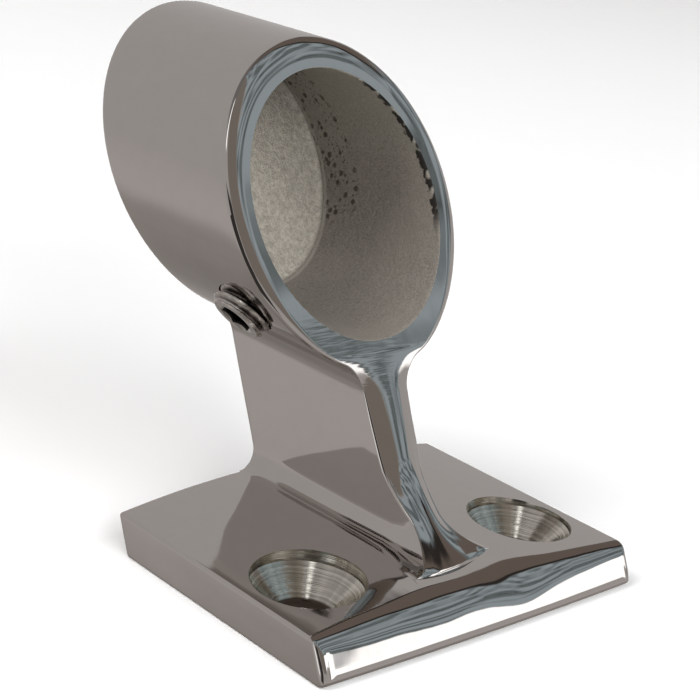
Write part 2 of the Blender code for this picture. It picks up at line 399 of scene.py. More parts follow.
@dataclass(frozen=True)
class RolledThread(Finish):
    """The plain, slightly dirty steel of a small screw."""

    end: Plane = LEVEL
    groove_r: float = 2.7 * MM
    # painted shade for the thread's grooves and the key socket
    painted_groove_shade: Point = (0.045, 0.035, 0.03)
    grain_depth: float = 0.015 * MM

    def detail(self, sheet: Sheet) -> dict:
        """Blotches of dirt, a little grain, and painted shade in the thread grooves and key socket.
        """
        place = sheet.place()
        offset = sheet.vector("SUBTRACT", place, self.end[0])
        radius = sheet.vector("LENGTH", sheet.vector("CROSS_PRODUCT", offset, self.end[1]))
        # painted shade: darker inside the grooves and the key socket, deeper than 0.5 mm below the
        # end
        groove = radius.rise(self.groove_r + 0.1 * MM, self.groove_r - 0.1 * MM)
        groove = groove * sheet.ahead(place, self.end).rise(-0.3 * MM, -0.5 * MM)
        dirt = sheet.noise(place, 900.0, 3.0, 0.6)
        grain = sheet.noise(place, 4000.0, 2.0, 0.5)
        tint = sheet.blend(dirt.rise(0.4, 0.75), self.colour, self.toned(0.6))
        return {"Base Color": sheet.blend(groove * 0.85, tint, self.painted_groove_shade),
                "Roughness": self.roughness + 0.2 * dirt,
                "Normal": sheet.bumps(grain, self.grain_depth)}


class Surface(Enum):
    """The casting's surfaces, in the order of its material slots."""

    POLISHED = 0
    CAST = 1
    TURNED = 2


# --------------------------------------------------------------------------- mesh helpers


def deselect() -> None:
    """Leave object mode with nothing selected."""
    if bpy.context.mode != "OBJECT":
        bpy.ops.object.mode_set(mode="OBJECT")
    bpy.ops.object.select_all(action="DESELECT")


def activate(obj: Object) -> None:
    """Select one object only, and make it active."""
    deselect()
    obj.select_set(True)
    bpy.context.view_layer.objects.active = obj


@contextmanager
def editing(obj: Object) -> Iterator[None]:
    """Open an object in edit mode with everything selected, and close it afterwards."""
    activate(obj)
    bpy.ops.object.mode_set(mode="EDIT")
    bpy.ops.mesh.select_all(action="SELECT")
    yield
    bpy.ops.object.mode_set(mode="OBJECT")


def apply_all(obj: Object) -> None:
    """Apply every modifier of an object, in order."""
    activate(obj)
    for modifier in list(obj.modifiers):
        bpy.ops.object.modifier_apply(modifier=modifier.name)


def settle(obj: Object) -> None:
    """Put an object's place and turn into its mesh."""
    activate(obj)
    bpy.ops.object.transform_apply(location=True, rotation=True, scale=True)


def boolean(target: Object, tool: Object, operation: str) -> None:
    """Join or cut an object with a tool, and remove the tool.

    Args:
        target: the object that changes.
        tool: the other solid.
        operation: UNION or DIFFERENCE.
    """
    modifier = target.modifiers.new(tool.name, "BOOLEAN")
    modifier.operation = operation
    modifier.solver = "EXACT"
    modifier.object = tool
    apply_all(target)
    bpy.data.objects.remove(tool, do_unlink=True)


def shaped_circle(name: str, points: Sequence[Point], fill: str) -> Object:
    """Add a circle primitive and move its vertices onto points, in order.

    Args:
        name: the object's name.
        points: the places, one for each vertex.
        fill: NGON for a face, NOTHING for edges only.
    Returns:
        The object, in object mode.
    """
    deselect()
    bpy.ops.mesh.primitive_circle_add(vertices=len(points), radius=1.0, fill_type=fill)
    obj = bpy.context.object
    obj.name = obj.data.name = name
    for vertex, point in zip(obj.data.vertices, points):
        vertex.co = point
    return obj


def clamp(value: float, least: float = 0.0) -> float:
    """Return a value kept between the least and 1."""
    return min(1.0, max(least, value))


def eased(share: float) -> float:
    """Return a share from 0 to 1 with a gentle start and end."""
    return share * share * (3 - 2 * share)


def arc(centre: tuple[float, float], radius: float, start: float, end: float,
        steps: int) -> Outline:
    """Return points along an arc, from one angle to another."""
    points = []
    for step in range(steps + 1):
        angle = start + (end - start) * step / steps
        points.append((centre[0] + radius * math.cos(angle), centre[1] + radius * math.sin(angle)))
    return points


def sweep_rows(edge_steps: int, middle_steps: int) -> list[Row]:
    """Return the rows of a bar whose two ends are rounded.

    Args:
        edge_steps: rows in each rounding.
        middle_steps: steps from one rounding to the other.
    Returns:
        For each row its share of the way, its rounding angle and its end: -1, 0 or 1.
    """
    rows = [(0.0, QUARTER_TURN * (1 - step / edge_steps), -1) for step in range(edge_steps)]
    rows += [(step / middle_steps, 0.0, 0) for step in range(middle_steps + 1)]
    rows += [(1.0, QUARTER_TURN * (step + 1) / edge_steps, 1) for step in range(edge_steps)]
    return rows


def rows_solid(name: str, count: int, rows: int, place: Callable[[int, int], Vector]) -> Object:
    """Extrude a ring of points row by row and put every vertex in its place.

    Args:
        name: the object's name.
        count: points in the ring.
        rows: rings in all, the first and the last with a cap.
        place: gives where a point of a row goes.
    Returns:
        The solid.
    """
    ring = arc((0.0, 0.0), 1.0, 0.0, 2 * math.pi, count)[:-1]
    obj = shaped_circle(name, [(x, y, 0.0) for x, y in ring], "NGON")
    with editing(obj):
        for _ in range(rows - 1):
            bpy.ops.mesh.extrude_region_move(TRANSFORM_OT_translate={"value": (0.0, 0.0, 1.0)})
    for vertex in obj.data.vertices:
        turn = math.atan2(vertex.co.y, vertex.co.x) / (2 * math.pi) * count
        vertex.co = place(round(vertex.co.z), round(turn) % count)
    recalculate(obj)
    return obj


def turned(name: str, profile: Sequence[tuple[float, float]], steps: int) -> Object:
    """Spin a profile about z into a closed solid.

    Args:
        name: the object's name.
        profile: (radius, height) points, with both ends on the axis.
        steps: flats in a full turn.
    Returns:
        The solid.
    """
    obj = shaped_circle(name, [(radius, 0.0, height) for radius, height in profile], "NOTHING")
    with editing(obj):
        bpy.ops.mesh.select_all(action="DESELECT")
    for edge in obj.data.edges:
        edge.select = set(edge.vertices) == {0, len(profile) - 1}
    bpy.ops.object.mode_set(mode="EDIT")
    bpy.ops.mesh.select_mode(type="EDGE")
    bpy.ops.mesh.delete(type="EDGE")
    bpy.ops.mesh.select_mode(type="VERT")
    with editing(obj):
        bpy.ops.mesh.spin(steps=steps, angle=2 * math.pi, center=(0, 0, 0), axis=(0, 0, 1))
        bpy.ops.mesh.select_all(action="SELECT")
        bpy.ops.mesh.remove_doubles(threshold=WELD)
        bpy.ops.mesh.normals_make_consistent(inside=False)
    return obj


def recalculate(obj: Object) -> None:
    """Turn every face of a closed shape outwards."""
    with editing(obj):
        bpy.ops.mesh.normals_make_consistent(inside=False)


@contextmanager
def open_front(obj: Object, count: int) -> Iterator[tuple[bmesh.types.BMesh, list]]:
    """Take a bar's front cap away, and store the mesh when the gap is filled.

    Args:
        obj: the bar, made by rows_solid.
        count: corners of its cap.
    Yields:
        The mesh to fill, and the cap's corners in order.
    """
    mesh = bmesh.new()
    mesh.from_mesh(obj.data)
    cap = max((f for f in mesh.faces if len(f.verts) == count), key=lambda f: f.normal.x)
    corners = sorted(cap.verts, key=lambda v: v.index)
    bmesh.ops.delete(mesh, geom=[cap], context="FACES_ONLY")
    yield mesh, corners
    bmesh.ops.recalc_face_normals(mesh, faces=mesh.faces)
    mesh.to_mesh(obj.data)
    mesh.free()


def smooth(obj: Object, angle: float) -> None:
    """Shade smooth below an angle, with big faces keeping their own normals."""
    activate(obj)
    bpy.ops.object.shade_smooth_by_angle(angle=angle)
    modifier = obj.modifiers.new("weighted", "WEIGHTED_NORMAL")
    modifier.keep_sharp = True
    modifier.weight = 60
    apply_all(obj)


# --------------------------------------------------------------------------- the casting


@dataclass
class Casting:
    """Base, web and socket in one piece."""

    base_length: float = 28.2 * MM
    base_width: float = 40.2 * MM
    base_edge: float = 3.8 * MM
    crown_back: float = 1.3 * MM
    crown_front: float = 0.5 * MM
    base_rake: float = math.radians(27.0)
    front_roll: float = 1.9 * MM
    roll_ends: float = 0.55
    roll_swell: float = 0.62
    roll_waves: tuple[Point, Point] = ((0.16, 11.0, 0.6), (0.10, 23.0, 0.0))
    front_bow: float = 0.30 * MM
    front_tuck: float = 0.45 * MM
    tuck_height: float = 1.3 * MM
    hole_spacing: float = 27.4 * MM
    hole_forward: float = 3.6 * MM
    hole_r: float = 2.65 * MM
    sink_r: float = 5.1 * MM
    sink_land: float = 0.5 * MM
    sink_lip: float = 0.14 * MM
    sink_bevel: float = 0.05 * MM
    hole_bevel: float = 0.1 * MM
    tube_r: float = 13.9 * MM
    bore_r: float = 11.3 * MM
    axis_height: float = 32.8 * MM
    mouth_x: float = -11.7 * MM
    mouth_rake: float = math.radians(29.0)
    back_x: float = -31.2 * MM
    back_rake: float = math.radians(31.5)
    end_wall: float = 1.4 * MM
    web_half: float = 2.5 * MM
    web_taper: float = math.radians(4.0)
    foot_fillet: float = 2.0 * MM
    foot_flare: float = 2.3 * MM
    flare_start: float = 1.0 * MM
    flare_length: float = 7.0 * MM
    head_fillet: float = 3.0 * MM
    toe_reach: float = 4.8 * MM
    toe_height: float = 6.2 * MM
    toe_curve: float = 1.6
    toe_fade: float = 1.3
    toe_start: float = 1.0 * MM
    sunk: float = 0.03 * MM
    back_step: float = 0.3 * MM
    front_bulge: float = 0.08 * MM
    recede: float = 0.50 * MM
    recede_top: float = 20.6 * MM
    recede_fade: float = 3.8 * MM
    toe_recede: float = 0.90 * MM
    toe_fill: float = 0.8
    mouth_edge: float = 1.8 * MM
    mouth_flatness: float = 0.56
    rim_edge: float = 0.85 * MM
    mouth_growth: float = 9.0 * MM
    rim_growth: float = 6.0 * MM
    rim_drop: float = 4.0 * MM
    neck_reach: float = 4.0 * MM
    neck_least: float = 0.3
    edge_least: float = 0.1
    web_edge: float = 0.75 * MM
    web_front_edge: float = 0.38 * MM
    side_edge: float = 0.35 * MM
    foot_edge: float = 0.30 * MM
    corner_edge: float = 0.6 * MM
    back_top_edge: float = 0.85 * MM
    fade_height: float = 4.0 * MM
    lip: float = 0.12 * MM
    lip_depth: float = 0.25 * MM
    end_fillet: float = 0.6 * MM
    hole_steps: int = 96
    crown_steps: int = 32
    corner_steps: int = 5
    roll_steps: int = 10
    base_steps: int = 10
    fillet_steps: int = 14
    web_steps: int = 10
    tube_steps: int = 72
    stem_steps: int = 12
    edge_steps: int = 6
    rung_steps: int = 10
    ring_rungs: int = 3
    bore_steps: int = 144
    obj: Object | None = field(default=None, init=False)

    def mouth_at(self, height: float) -> float:
        """Return x of the mouth's plane at a height."""
        return self.mouth_x - (height - self.axis_height) * math.tan(self.mouth_rake)

    def back_at(self, height: float) -> float:
        """Return x of the back end's plane at a height."""
        return self.back_x - (height - self.axis_height) * math.tan(self.back_rake)

    def end_at(self, end: float, height: float) -> float:
        """Return x of a raked end of the base at a height."""
        return end - height * math.tan(self.base_rake)

    def crown_at(self, x: float) -> float:
        """Return how much the base's top rises from its sides to its middle line."""
        share = clamp(0.5 - x / self.base_length)
        return self.crown_front + (self.crown_back - self.crown_front) * share

    def drum(self, x: float) -> tuple[float, float]:
        """Return the radius and the axis height of the drum that the top follows at x."""
        half, rise = self.base_width / 2, self.crown_at(x)
        radius = (half ** 2 + rise ** 2) / (2 * rise)
        return radius, self.base_edge + rise - radius

    def base_top(self, x: float, y: float) -> float:
        """Return the height of the base's top."""
        radius, height = self.drum(x)
        return height + math.sqrt(radius ** 2 - y ** 2)

    def toe_front(self, height: float) -> float:
        """Return x of the web's front, which sweeps forward into the toe."""
        level = self.base_edge + self.crown_at(0.0)
        share = clamp(1.0 - (height - level) / self.toe_height)
        return self.mouth_at(max(height, level)) + self.toe_reach * share ** self.toe_curve

    def web_back(self, height: float) -> float:
        """Return x of the back, from the base's back edge up the web to the socket's end."""
        under, level = self.axis_height - self.tube_r, self.base_edge
        if height >= under:
            return self.back_at(height)
        low, high = self.end_at(-self.base_length / 2, level) + self.back_step, self.back_at(under)
        if height < level:
            return low + level - height
        return low + (high - low) * (height - level) / (under - level)

    def stem_outline(self, x: float) -> Outline:
        """Return the outline of web and tube as (y, z), for the section at x.

        It starts sunk in the base on one side and goes over the tube to the other side.
        """
        half = self.web_half - x * math.tan(self.web_taper)
        drum_r, drum_height = self.drum(x)
        flare = eased(clamp((x - self.flare_start) / self.flare_length))
        foot_fillet = self.foot_fillet + self.foot_flare * flare
        foot_reach = drum_r + foot_fillet
        foot_angle = math.acos((half + foot_fillet) / foot_reach)
        foot = (half + foot_fillet, drum_height + foot_reach * math.sin(foot_angle) - self.sunk)
        head_reach = self.tube_r + self.head_fillet
        head_angle = math.acos((half + self.head_fillet) / head_reach)
        head = (half + self.head_fillet, self.axis_height - head_reach * math.sin(head_angle))
        side = [(foot[0], 0.4 * self.base_edge)]
        side += arc(foot, foot_fillet, foot_angle - math.pi, -math.pi, self.fillet_steps)
        for step in range(1, self.web_steps):
            side.append((half, foot[1] + (head[1] - foot[1]) * step / self.web_steps))
        side += arc(head, self.head_fillet, math.pi, math.pi - head_angle, self.fillet_steps)
        side += arc((0.0, self.axis_height), self.tube_r, -head_angle, math.pi / 2,
                    self.tube_steps)[1:]
        return side + [(-y, z) for y, z in reversed(side[:-1])]

    @staticmethod
    def inward(outline: Outline, index: int) -> Vector:
        """Return the direction that points into an outline that runs anticlockwise."""
        before, after = outline[index - 1], outline[(index + 1) % len(outline)]
        return Vector((before[1] - after[1], after[0] - before[0])).normalized()

    def ring_share(self, height: float, end: int) -> float:
        """Return how far a height is from the web's edge (0) up to the tube's rim (1)."""
        under = self.axis_height - self.tube_r
        if end > 0:
            return clamp((height - under) / self.mouth_growth)
        return clamp((height - under + self.rim_drop) / self.rim_growth)

    def edge_depth(self, height: float, end: int) -> float:
        """Return how far the rounded edge reaches along the tube."""
        flatness = self.mouth_flatness * self.ring_share(height, end) if end > 0 else 0.0
        return self.edge_radius(height, end) * (1.0 - flatness)

    def edge_radius(self, height: float, end: int) -> float:
        """Return how round the edge is at a height, at the mouth (1) or the back (-1)."""
        if end > 0:
            rim, web, start, fade = self.mouth_edge, self.web_front_edge, 0.0, self.fade_height
            neck = abs(height - self.axis_height + self.tube_r) / self.neck_reach
            web *= clamp(neck, self.neck_least)
        else:
            rim, web, start, fade = (self.rim_edge, self.web_edge, self.crown_back,
                                     self.fade_height / 2)
        web *= clamp((height - self.base_edge - start) / fade, self.edge_least)
        return web + (rim - web) * self.ring_share(height, end)

    def recede_at(self, height: float, y: float) -> float:
        """Return how far a front edge of the web stands back from its middle at a height.

        The toe is polished away on its +Y side only.
        """
        plain = self.recede * eased(clamp((self.recede_top - height) / self.recede_fade))
        above = height - self.base_edge - self.toe_start
        toe = eased(clamp(1.0 - above / (self.toe_fade * self.toe_height)))
        return plain + toe * (self.toe_recede if y > 0.0 else -self.toe_fill * plain)

    def build_stem(self) -> Object:
        """Return web and tube in one solid, with rounded edges and a rounded front."""
        rows = sweep_rows(self.edge_steps, self.stem_steps)
        outlines: dict[float, Outline] = {}

        def outline_at(x: float) -> Outline:
            """Return the outline for the section at x, kept for the next time."""
            key = round(x * SECTIONS_PER_METRE) / SECTIONS_PER_METRE
            if key not in outlines:
                outlines[key] = self.stem_outline(key)
            return outlines[key]

        def place(row: int, index: int) -> Vector:
            """Return where a vertex goes: a few passes, as x and outline follow each other."""
            share, turn, end = rows[row]
            x = -15 * MM
            for _ in range(4):
                outline = outline_at(x)
                y, z = outline[index]
                front_r, back_r = self.edge_depth(z, 1), self.edge_depth(z, -1)
                if end:
                    sunk = self.edge_radius(z, end) * (1 - math.cos(turn))
                    y, z = Vector((y, z)) + self.inward(outline, index) * sunk
                low, high = self.web_back(z), self.toe_front(z) - self.recede_at(z, y)
                if end > 0:
                    x = high - front_r * (1 - math.sin(turn))
                elif end < 0:
                    x = low + back_r * (1 - math.sin(turn))
                else:
                    x = low + back_r + (high - front_r - low - back_r) * share
            return Vector((x, y, z))

        count = len(self.stem_outline(0.0))
        obj = rows_solid("casting_piece", count, len(rows), place)
        self.fill_front(obj, count)
        return obj

    def fill_front(self, obj: Object, count: int) -> None:
        """Replace the front cap by rungs up the toe and web and one flat face for the ring."""
        rungs = 1 + 2 * self.fillet_steps + self.web_steps + self.ring_rungs
        with open_front(obj, count) as (mesh, corners):
            columns = []
            for index in range(1, rungs + 1):
                right, left = corners[index], corners[count - 1 - index]
                middle = self.front_bulge + 0.5 * (self.recede_at(right.co.z, 1.0)
                                                   + self.recede_at(right.co.z, -1.0))
                column = [right]
                for step in range(1, self.rung_steps):
                    share = step / self.rung_steps
                    bulge = middle * 4 * share * (1 - share) if 1 < index < rungs else 0.0
                    spot = right.co.lerp(left.co, share) + Vector((bulge, 0.0, 0.0))
                    column.append(mesh.verts.new(spot))
                columns.append(column + [left])
            for low, high in zip(columns, columns[1:]):
                for step in range(self.rung_steps):
                    mesh.faces.new((low[step], low[step + 1], high[step + 1], high[step]))
            mesh.faces.new([corners[0], corners[-1]] + list(reversed(columns[0])))
            mesh.faces.new(list(reversed(columns[-1][1:-1])) + corners[rungs:count - rungs])

    def base_outline(self, x: float) -> Outline:
        """Return the base's outline as (y, z), for the section at x.

        It runs anticlockwise from the middle of the underside, where each point lies
        under one of the crown's.
        """
        half = self.base_width / 2
        radius, height = self.drum(x)
        edge, foot = self.side_edge, self.foot_edge
        start = math.acos((half - edge) / radius)
        top_y, top_z = half - edge, height + radius * math.sin(start)
        crown = arc((0.0, height), radius, start, math.pi / 2, self.crown_steps)
        side = [(min(y, half - foot - 0.05 * MM), 0.0) for y, _ in reversed(crown)]
        side += arc((half - foot, foot), foot, -math.pi / 2, 0.0, self.corner_steps)[1:]
        side += [(half, foot + (top_z - edge - foot) * share) for share in (0.33, 0.67)]
        side += arc((top_y, top_z - edge), edge, 0.0, start, self.corner_steps)
        side += crown[1:]
        return side + [(-y, z) for y, z in reversed(side[1:-1])]

    def base_end(self, end: int, y: float, height: float) -> float:
        """Return x of an end of the base: the front is bowed and tucked in at its foot."""
        x = self.end_at(end * self.base_length / 2, height)
        if end > 0:
            x -= self.front_bow * (2 * y / self.base_width) ** 2
            x -= self.front_tuck * max(0.0, 1.0 - height / self.tuck_height) ** 2
        return x

    def end_edges(self, end: int, y: float) -> tuple[float, float, float]:
        """Return how round an end is at its sides, its top and its foot."""
        if end > 0:
            across = y / self.base_width + 0.5
            swell = math.sin(math.pi * clamp(across)) ** 1.3
            uneven = sum(size * math.sin(rate * across + start)
                         for size, rate, start in self.roll_waves)
            roll = self.front_roll * (self.roll_ends + (self.roll_swell + uneven) * swell)
            return self.corner_edge, roll, 2 * self.foot_edge
        return self.corner_edge, self.back_top_edge, self.foot_edge

    def base_roll(self, inward: Vector, end: int, y: float) -> float:
        """Return the radius of an end's edge for the way its outline faces."""
        side, top, foot = self.end_edges(end, y)
        far = top if inward.y < 0 else foot
        return side + (far - side) * inward.y ** 2

    def build_base(self) -> Object:
        """Return the crowned base with its rolled front and rounded edges."""
        rows = sweep_rows(self.roll_steps, self.base_steps)

        def place(row: int, index: int) -> Vector:
            """Return where a vertex goes."""
            share, turn, end = rows[row]
            x = 0.0
            for _ in range(3):
                outline = self.base_outline(x)
                inward = self.inward(outline, index)
                y, z = outline[index]
                if end:
                    side, top, foot = self.end_edges(end, y)
                    part, up = 1 - math.cos(turn), z / self.base_top(x, y)
                    y *= 1 - 2 * side * part / self.base_width
                    z += part * (foot * (1 - up) - top * up)
                    roll = self.base_roll(inward, end, y)
                    x = self.base_end(end, y, z) - end * roll * (1 - math.sin(turn))
                else:
                    low = self.base_end(-1, y, z) + self.base_roll(inward, -1, y)
                    high = self.base_end(1, y, z) - self.base_roll(inward, 1, y)
                    x = low + (high - low) * share
            return Vector((x, y, z))

        count = len(self.base_outline(0.0))
        obj = rows_solid("base_solid", count, len(rows), place)
        self.fill_base_front(obj, count)
        return obj

    def fill_base_front(self, obj: Object, count: int) -> None:
        """Replace the base's front cap by upright columns that follow its bow."""
        top, last = count // 2, self.crown_steps
        with open_front(obj, count) as (mesh, corners):
            columns = {}
            for index in range(-last, last + 1):
                low, high = corners[index], corners[top - index]
                column = [low]
                for step in range(1, self.rung_steps):
                    spot = low.co.lerp(high.co, step / self.rung_steps)
                    spot.x = self.base_end(1, spot.y, spot.z)
                    column.append(mesh.verts.new(spot))
                columns[index] = column + [high]
            for index in range(-last, last):
                one, two = columns[index], columns[index + 1]
                for step in range(self.rung_steps):
                    mesh.faces.new((one[step], two[step], two[step + 1], one[step + 1]))
            mesh.faces.new(corners[last:top - last + 1] + columns[last][-2:0:-1])
            mesh.faces.new(corners[top + last:count - last + 1] + columns[-last][1:-1])

    def build_bore_cutter(self) -> Object:
        """Return the bore as a solid: a filleted end, a straight wall and a lip at the mouth."""
        wall = self.end_wall / math.cos(self.back_rake)
        turns = [QUARTER_TURN * (1 - step / self.edge_steps)
                 for step in range(self.edge_steps + 1)]

        def place(row: int, index: int) -> Vector:
            """Return where a vertex goes."""
            angle = 2 * math.pi * index / self.bore_steps
            if row < len(turns):
                radius = self.bore_r - self.end_fillet * (1 - math.cos(turns[row]))
                z = self.axis_height + radius * math.sin(angle)
                x = self.back_at(z) + wall + self.end_fillet * (1 - math.sin(turns[row]))
            else:
                flared = row > len(turns)
                radius = self.bore_r + (2 * self.lip if flared else 0.0)
                z = self.axis_height + radius * math.sin(angle)
                x = self.mouth_at(z) + (self.lip_depth if flared else -self.lip_depth)
            return Vector((x, radius * math.cos(angle), z))

        return rows_solid("bore_cutter", self.bore_steps, len(turns) + 2, place)

    def hole_centre(self, side: int) -> tuple[float, float]:
        """Return x and y of a screw hole's axis."""
        return self.hole_forward, side * self.hole_spacing / 2

    def sink_rim(self) -> float:
        """Return the height at which a countersink's cone starts, under its straight step."""
        x, y = self.hole_centre(1)
        return self.base_top(x, y + self.sink_r) - self.sink_land

    def hole_top(self) -> float:
        """Return the height at which a countersink's cone ends in the through hole."""
        return self.sink_rim() - (self.sink_r - self.hole_r)

    def build_hole_cutter(self, side: int) -> Object:
        """Return a countersunk hole as a solid, from below the base to above it."""
        low, high, rim = -self.base_edge, 3 * self.base_edge, self.sink_rim()
        cone_low, step_top = self.hole_top(), self.sink_rim() + self.sink_land * 0.8
        hole, sink, lip = self.hole_r, self.sink_r, self.sink_r + self.sink_lip
        profile = [(0.0, low), (hole, low), (hole, cone_low - self.hole_bevel),
                   (hole + self.hole_bevel, cone_low),
                   (sink - self.sink_bevel, rim - self.sink_bevel), (sink, rim),
                   (sink, step_top), (lip, step_top + 2 * self.sink_lip), (lip, high),
                   (0.0, high)]
        cutter = turned("hole_cutter", profile, self.hole_steps)
        cutter.location = (*self.hole_centre(side), 0.0)
        settle(cutter)
        return cutter

    def build_tapped_hole(self, screw: SetScrew) -> Object:
        """Return the plain hole that the set screw's thread is in."""
        reach = 2.5 * screw.length
        profile = [(0.0, -reach), (screw.hole_r, -reach), (screw.hole_r, 0.3 * reach),
                   (0.0, 0.3 * reach)]
        cutter = turned("tapped_hole", profile, 64)
        cutter.matrix_world = screw.placing(self)
        settle(cutter)
        return cutter

    def surface_of(self, face: bpy.types.MeshPolygon, points: list[Vector]) -> Surface:
        """Return which finish a face has, by where it is."""
        out = [math.hypot(p.y, p.z - self.axis_height) for p in points]
        ahead_of_wall = min(p.x - self.back_at(p.z) for p in points) > 0.5 * self.end_wall
        if max(out) < self.bore_r + self.lip * 1.2 and ahead_of_wall:
            return Surface.CAST
        for side in (-1, 1):
            x, y = self.hole_centre(side)
            reach = self.sink_r + 2 * self.sink_lip
            if max(math.hypot(p.x - x, p.y - y) for p in points) < reach:
                return Surface.TURNED
        return Surface.POLISHED

    def build(self, screw: SetScrew) -> Object:
        """Build the casting.

        Args:
            screw: the set screw, whose hole is cut.
        Returns:
            The finished object.
        """
        obj = self.build_stem()
        boolean(obj, self.build_base(), "UNION")
        boolean(obj, self.build_bore_cutter(), "DIFFERENCE")
        for side in (-1, 1):
            boolean(obj, self.build_hole_cutter(side), "DIFFERENCE")
        boolean(obj, self.build_tapped_hole(screw), "DIFFERENCE")
        self.obj = obj
        return obj

    def dress(self) -> None:
        """Give each surface its finish, then shade the casting smooth."""
        height, wall = self.axis_height, self.end_wall / math.cos(self.back_rake)
        low = height - 0.5 * (self.tube_r + self.bore_r)
        up = height + 5.0 * MM
        mouth = (math.cos(self.mouth_rake), 0.0, math.sin(self.mouth_rake))
        back = (math.cos(self.back_rake), 0.0, math.sin(self.back_rake))
        finishes = (
            MirrorPolish("polished_stainless", (0.60, 0.57, 0.55), 0.035,
                         ring_low=(self.mouth_at(low), -4.0 * MM, low)),
            CastSkin("cast_skin", (0.235, 0.212, 0.186), 0.55, 0.2,
                     spot=(-26.5 * MM, 10.0 * MM, up), chip_spot=(self.mouth_at(up), 10.5 * MM, up),
                     end=((self.back_at(height) + wall, 0.0, height), back),
                     mouth=((self.mouth_at(height), 0.0, height), mouth)),
            TurnedSink("turned_sink", (0.76, 0.73, 0.66), 0.10, centre=self.hole_centre(1),
                       hole_top=self.hole_top()),
        )
        mesh = self.obj.data
        mesh.materials.clear()
        for finish in finishes:
            mesh.materials.append(finish.make())
        for face in mesh.polygons:
            points = [mesh.vertices[index].co for index in face.vertices]
            face.material_index = self.surface_of(face, points).value
        smooth(self.obj, math.radians(28))


# --------------------------------------------------------------------------- the set screw


@dataclass
class SetScrew:
    """A headless M6 screw with a hexagon socket and a cup point."""

    radius: float = 3.0 * MM
    pitch: float = 1.0 * MM
    thread_depth: float = 0.55 * MM
    length: float = 5.0 * MM
    stands_out: float = 1.25 * MM
    behind_mouth: float = 7.15 * MM
    angle: float = math.radians(45.0)
    chamfer: float = 0.55 * MM
    key: float = 3.0 * MM
    key_depth: float = 2.2 * MM
    key_turn: float = math.radians(11.0)
    cup_r: float = 1.5 * MM
    cup_depth: float = 0.6 * MM
    hole_r: float = 3.07 * MM
    flare_out: float = 0.12 * MM
    flare_above: float = 0.06 * MM
    turn_steps: int = 96
    row_height: float = 0.05 * MM
    crest_from: float = 0.16
    crest_span: float = 0.62
    crest_ease: float = 0.35
    obj: Object | None = field(default=None, init=False)

    def placing(self, casting: Casting) -> Matrix:
        """Return the matrix that puts the screw, outer end at zero and z outward, in its hole."""
        outward = Vector((0.0, -math.sin(self.angle), -math.cos(self.angle)))
        height = casting.axis_height + outward.z * casting.tube_r
        x = casting.mouth_at(height) - self.behind_mouth
        end = Vector((x, outward.y * casting.tube_r, height)) + outward * self.stands_out
        return Matrix.Translation(end) @ Matrix.Rotation(math.pi - self.angle, 4, "X")

    def thread_r(self, turn: float, height: float) -> float:
        """Return the thread's radius at an angle and a height."""
        phase = (height / self.pitch - turn / (2 * math.pi)) % 1.0
        crest = clamp((abs(phase - 0.5) * 2.0 - self.crest_from) / self.crest_span)
        crest += (eased(crest) - crest) * self.crest_ease
        return self.radius - self.thread_depth * (1.0 - crest)

    def build(self, casting: Casting) -> Object:
        """Build the screw in its hole.

        Args:
            casting: what the screw is in.
        Returns:
            The finished object.
        """
        rows = round(self.length / self.row_height)

        def place(row: int, index: int) -> Vector:
            """Return where a vertex goes: on the thread, or on the chamfer of an end."""
            turn, depth = 2 * math.pi * index / self.turn_steps, row * self.row_height
            limit = self.radius - max(0.0, self.chamfer - min(depth, self.length - depth))
            height = depth - self.length
            radius = min(self.thread_r(turn, height), limit)
            return Vector((radius * math.cos(turn), radius * math.sin(turn), height))

        obj = rows_solid("set_screw_piece", self.turn_steps, rows + 1, place)
        bpy.ops.mesh.primitive_cylinder_add(vertices=6, radius=self.key / math.sqrt(3),
                                            depth=2 * self.key_depth, location=ORIGIN)
        socket = bpy.context.object
        socket.name = "key_cutter"
        socket.rotation_euler = (0.0, 0.0, self.key_turn)
        settle(socket)
        boolean(obj, socket, "DIFFERENCE")
        rim = self.key / math.sqrt(3) + self.flare_out
        flare = [(0.0, -self.key / 4), (0.55 * self.key / 2, -self.key / 4),
                 (rim, self.flare_above), (0.0, self.flare_above)]
        boolean(obj, turned("key_flare", flare, self.turn_steps // 2), "DIFFERENCE")
        below = -self.length - 0.5 * MM
        cup = [(0.0, below), (self.cup_r, below), (self.cup_r, -self.length),
               (0.0, -self.length + self.cup_depth)]
        boolean(obj, turned("cup_cutter", cup, self.turn_steps // 2), "DIFFERENCE")
        activate(obj)
        obj.matrix_world = self.placing(casting)
        settle(obj)
        self.obj = obj
        return obj

    def dress(self, casting: Casting) -> None:
        """Give the screw its finish and shade it smooth.

        Args:
            casting: what the screw is in.
        """
        placing = self.placing(casting)
        steel = RolledThread("screw_steel", (0.64, 0.61, 0.58), 0.12,
                             end=(tuple(placing.translation), tuple(placing.col[2].xyz)))
        self.obj.data.materials.clear()
        self.obj.data.materials.append(steel.make())
        for face in self.obj.data.polygons:
            face.material_index = 0
        smooth(self.obj, math.radians(32))


# --------------------------------------------------------------------------- the studio


